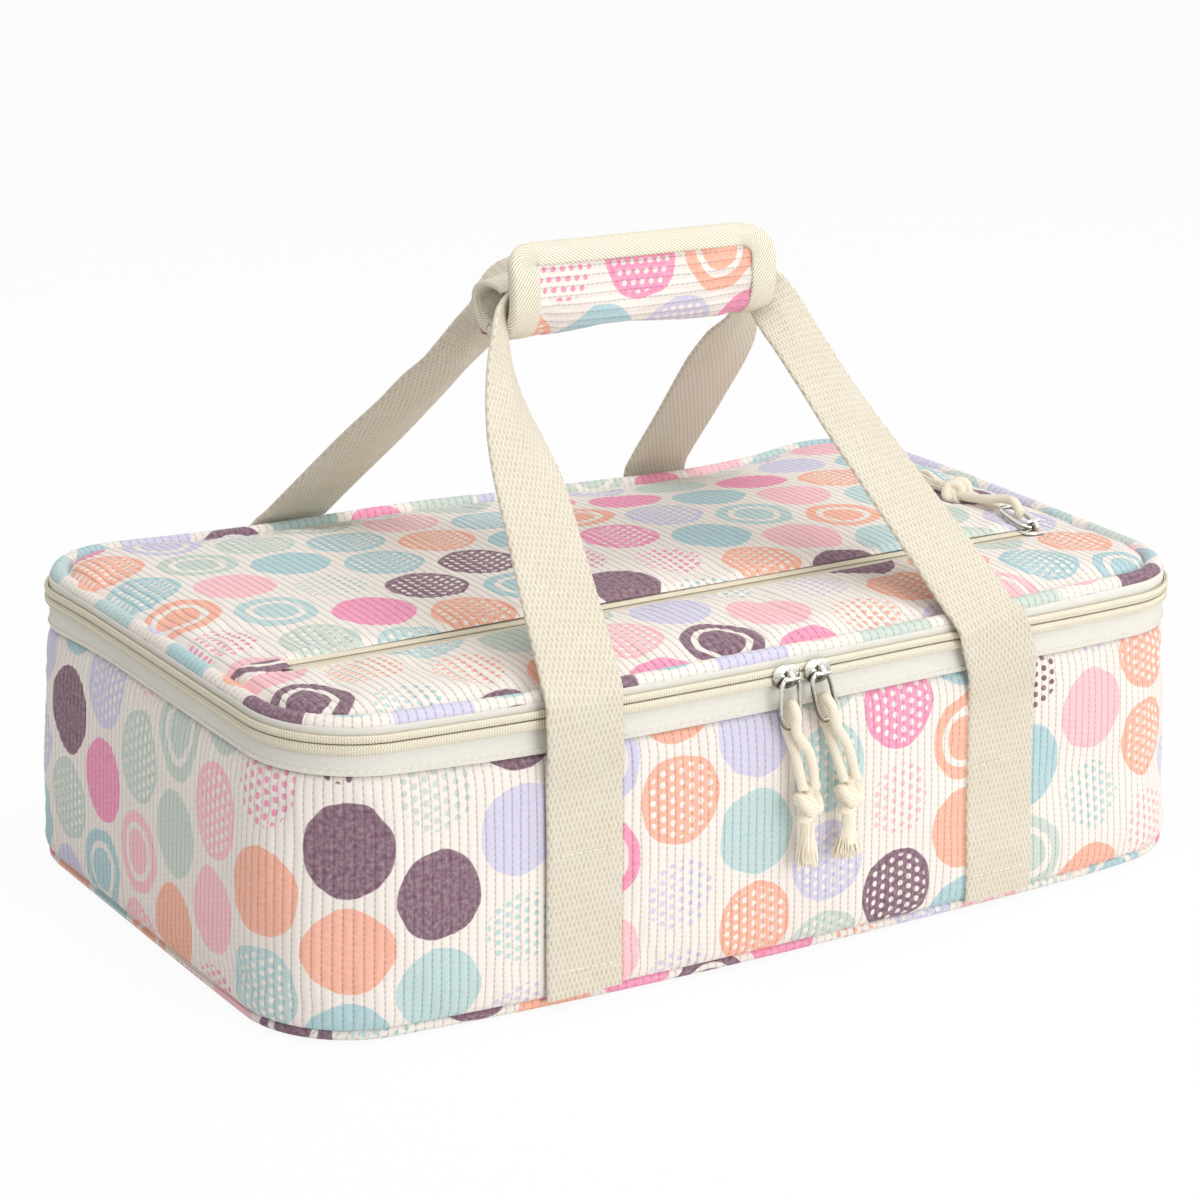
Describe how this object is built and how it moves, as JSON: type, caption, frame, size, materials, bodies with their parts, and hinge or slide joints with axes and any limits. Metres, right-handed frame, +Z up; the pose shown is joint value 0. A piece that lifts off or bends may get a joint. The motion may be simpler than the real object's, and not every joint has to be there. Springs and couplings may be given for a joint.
{
  "type": "insulated casserole carrier",
  "caption": "Padded fabric carrier for a baking dish, with a zip-round lid, a lid pocket, webbing handles and a padded handle wrap.",
  "frame": {"origin": "centre of the base, on the surface the carrier stands on", "axes": "+X along the front from left to right, -Y out of the front face, +Z up"},
  "size_m": [0.419, 0.284, 0.2588],
  "materials": {
    "print_fabric": "cream cotton with fine ribs and a bright print of rings and dots",
    "webbing": "cream cotton webbing, coarse weave",
    "binding": "cream twill tape",
    "zip_tape": "off-white woven zip tape",
    "zip_coil": "pale glossy nylon coil",
    "lining": "pale smooth lining",
    "foam": "soft foam padding",
    "board": "stiffener board",
    "nickel": "polished nickel",
    "cotton_cord": "natural cotton cord"
  },
  "bodies": {
    "bag": {"base_panel": "print_fabric", "base_board": "board", "base_foam": "foam", "wall_outer": "print_fabric", "wall_foam": "foam", "lining_tub": "lining", "rim_binding": "binding", "lower_zip_tape": "zip_tape", "lower_zip_coil": "zip_coil", "hinge_panel": "print_fabric", "front_strap_left_sewn": "webbing", "front_strap_right_sewn": "webbing", "rear_strap_left_sewn": "webbing", "rear_strap_right_sewn": "webbing"},
    "lid": {"lid_rear_panel": "print_fabric", "lid_front_panel": "print_fabric", "lid_gusset": "print_fabric", "lid_foam": "foam", "lid_lining": "lining", "lid_binding": "binding", "pocket_lining": "lining", "upper_zip_tape": "zip_tape", "upper_zip_coil": "zip_coil", "pocket_tape_rear": "zip_tape", "pocket_tape_front": "zip_tape", "pocket_coil_rear": "zip_coil", "pocket_coil_front": "zip_coil", "pocket_end_tab": "print_fabric"},
    "front_strap": {"front_strap_loop": "webbing"},
    "rear_strap": {"rear_strap_loop": "webbing", "wrap_back": "print_fabric", "wrap_binding_left": "binding", "wrap_binding_right": "binding", "loop_strip": "binding"},
    "wrap_front": {"wrap_flap": "print_fabric", "flap_binding": "binding", "hook_strip": "binding"},
    "left_slider_body": {"left_slider": "nickel"},
    "left_pull": {"left_pull_ring": "nickel", "left_pull_cord": "cotton_cord", "left_pull_knot": "cotton_cord", "left_pull_tassel": "cotton_cord"},
    "right_slider_body": {"right_slider": "nickel"},
    "right_pull": {"right_pull_ring": "nickel", "right_pull_cord": "cotton_cord", "right_pull_knot": "cotton_cord", "right_pull_tassel": "cotton_cord"},
    "pocket_slider_body": {"pocket_slider": "nickel"},
    "pocket_pull": {"pocket_pull_ring": "nickel", "pocket_pull_cord": "cotton_cord", "pocket_pull_knot": "cotton_cord", "pocket_pull_tassel": "cotton_cord"}
  },
  "joints": [
    {"name": "lid_hinge", "type": "hinge", "parent": "bag", "child": "lid", "pos_m": [0, 0.124, 0.111], "axis": [-1, 0, 0], "range_deg": [0, 110], "deforming": ["hinge_panel", "front_strap_loop"]},
    {"name": "front_strap_swing", "type": "hinge", "parent": "bag", "child": "front_strap", "pos_m": [0, -0.1391, 0.06215], "axis": [1, 0, 0], "range_deg": [0, 127]},
    {"name": "rear_strap_swing", "type": "hinge", "parent": "bag", "child": "rear_strap", "pos_m": [0, 0.1241, 0.06215], "axis": [-1, 0, 0], "range_deg": [0, 127]},
    {"name": "wrap_open", "type": "hinge", "parent": "rear_strap", "child": "wrap_front", "pos_m": [-0.00023, -0.006, 0.2204], "axis": [0.9999, 0, -0.0125], "range_deg": [0, 115]},
    {"name": "left_slider_run", "type": "hinge", "parent": "bag", "child": "left_slider_body", "pos_m": [0, 1.58271, 0.111], "axis": [0, 0, -1], "range_deg": [0, 5]},
    {"name": "left_pull_swing", "type": "hinge", "parent": "left_slider_body", "child": "left_pull", "pos_m": [-0.0095, -0.14317, 0.1135], "axis": [-1, 0, 0], "range_deg": [0, 150]},
    {"name": "right_slider_run", "type": "hinge", "parent": "bag", "child": "right_slider_body", "pos_m": [0, 1.58271, 0.111], "axis": [0, 0, 1], "range_deg": [0, 5]},
    {"name": "right_pull_swing", "type": "hinge", "parent": "right_slider_body", "child": "right_pull", "pos_m": [0.0045, -0.14319, 0.1135], "axis": [-1, 0, 0], "range_deg": [0, 150]},
    {"name": "pocket_slider_run", "type": "slide", "parent": "lid", "child": "pocket_slider_body", "axis": [-1, 0, 0], "range_m": [0, 0.33]},
    {"name": "pocket_pull_swing", "type": "hinge", "parent": "pocket_slider_body", "child": "pocket_pull", "pos_m": [0.165, -0.061, 0.1252], "axis": [1, 0, 0], "range_deg": [0, 150]}
  ],
  "couplings": [
    {"joint": "front_strap_swing", "follows": "lid_hinge", "ratio": 1.15},
    {"joint": "rear_strap_swing", "follows": "lid_hinge", "ratio": 1.15}
  ]
}
